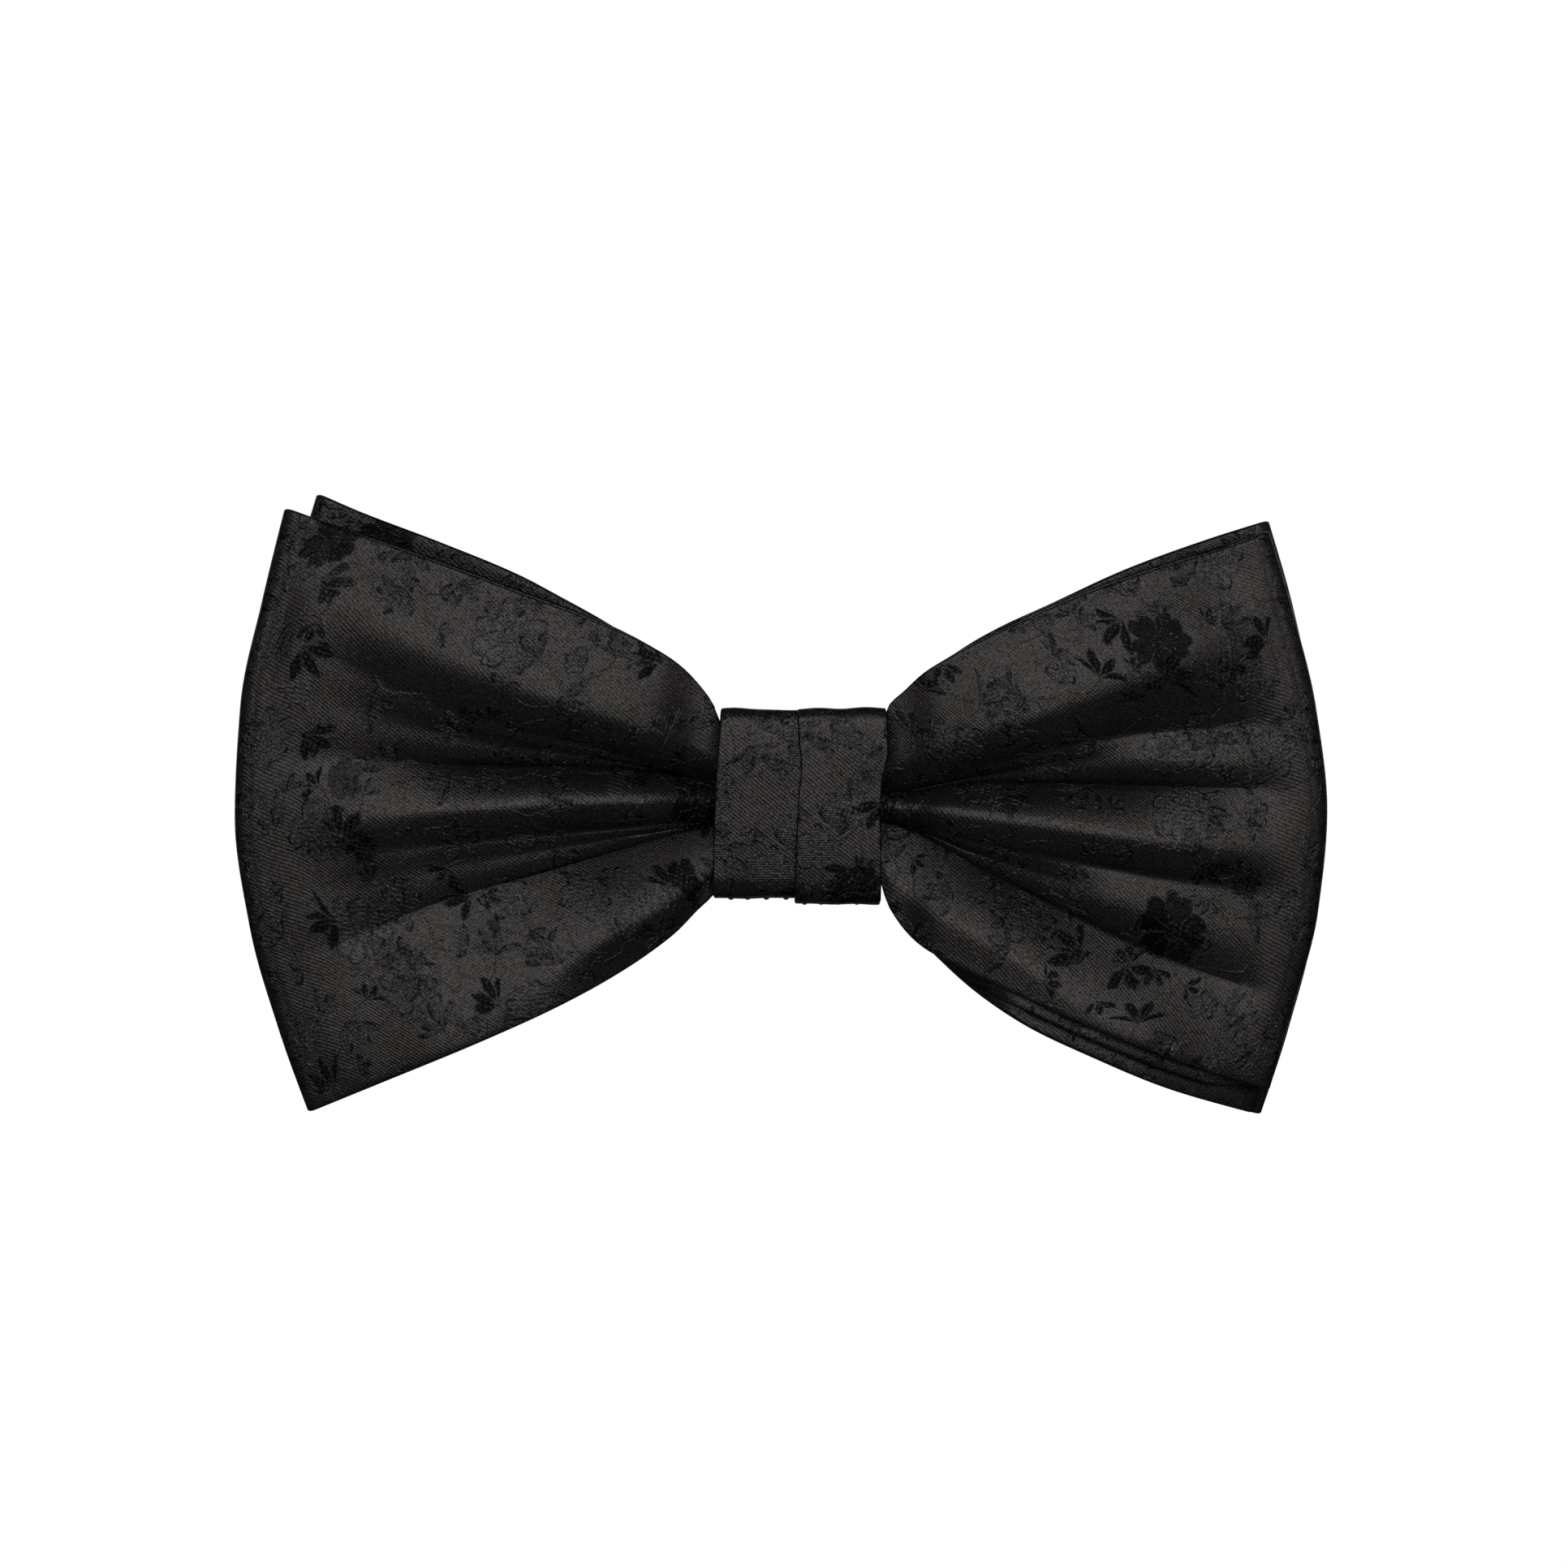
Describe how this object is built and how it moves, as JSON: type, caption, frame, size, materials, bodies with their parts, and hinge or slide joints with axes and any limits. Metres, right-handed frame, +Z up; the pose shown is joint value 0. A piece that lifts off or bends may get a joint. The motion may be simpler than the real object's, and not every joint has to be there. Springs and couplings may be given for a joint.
{
  "type": "pre-tied bow tie",
  "caption": "Pre-tied two-tier bow tie of black floral satin jacquard, with a knot wrap and an adjustable neck strap closed by a hook and eye.",
  "frame": {"origin": "centre of the knot's flat rear face, which rests on the shirt collar", "axes": "+X to the right as the bow is seen from the front, the bow faces -Y, +Z up; the neck loop lies behind the bow along +Y"},
  "size_m": [0.12, 0.1494, 0.0681],
  "materials": {
    "jacquard": "black floral satin jacquard, soft sheen",
    "strap_satin": "plain black satin, folded and pressed",
    "interlining": "matte woven canvas",
    "thread": "black polyester thread",
    "metal": "nickel plated wire and plate"
  },
  "bodies": {
    "bow_and_strap": {"front_bow_shell": "jacquard", "front_bow_interlining": "interlining", "back_bow_shell": "jacquard", "back_bow_interlining": "interlining", "knot_wrap": "jacquard", "knot_interlining": "interlining", "knot_closing_stitches": "thread", "waist_binding": "thread", "strap_left": "strap_satin", "strap_right": "strap_satin", "strap_right_return": "strap_satin", "strap_anchor_stitches": "thread"},
    "slide": {"adjuster_frame": "metal", "adjuster_strap_end": "strap_satin", "adjuster_bartack": "thread"},
    "left_end": {"strap_left_tip": "strap_satin", "strap_left_bartack": "thread"},
    "hook_body": {"hook": "metal"},
    "eye_body": {"eye_loop": "metal"}
  },
  "joints": [
    {"name": "adjuster_slide", "type": "hinge", "parent": "bow_and_strap", "child": "slide", "pos_m": [0, 0.07969, 0], "axis": [0, 0, -1], "range_deg": [0, 34]},
    {"name": "clasp_swing", "type": "hinge", "parent": "bow_and_strap", "child": "left_end", "pos_m": [-0.04414, 0.10728, 0], "axis": [0, 0, 1], "range_deg": [0, 60]},
    {"name": "hook_tilt", "type": "hinge", "parent": "left_end", "child": "hook_body", "pos_m": [-0.02874, 0.12231, 0], "axis": [0, 0, 1], "range_deg": [0, 30]},
    {"name": "eye_tilt", "type": "hinge", "parent": "bow_and_strap", "child": "eye_body", "pos_m": [-0.01243, 0.12957, 0], "axis": [0, 0, 1], "range_deg": [0, 10]}
  ]
}
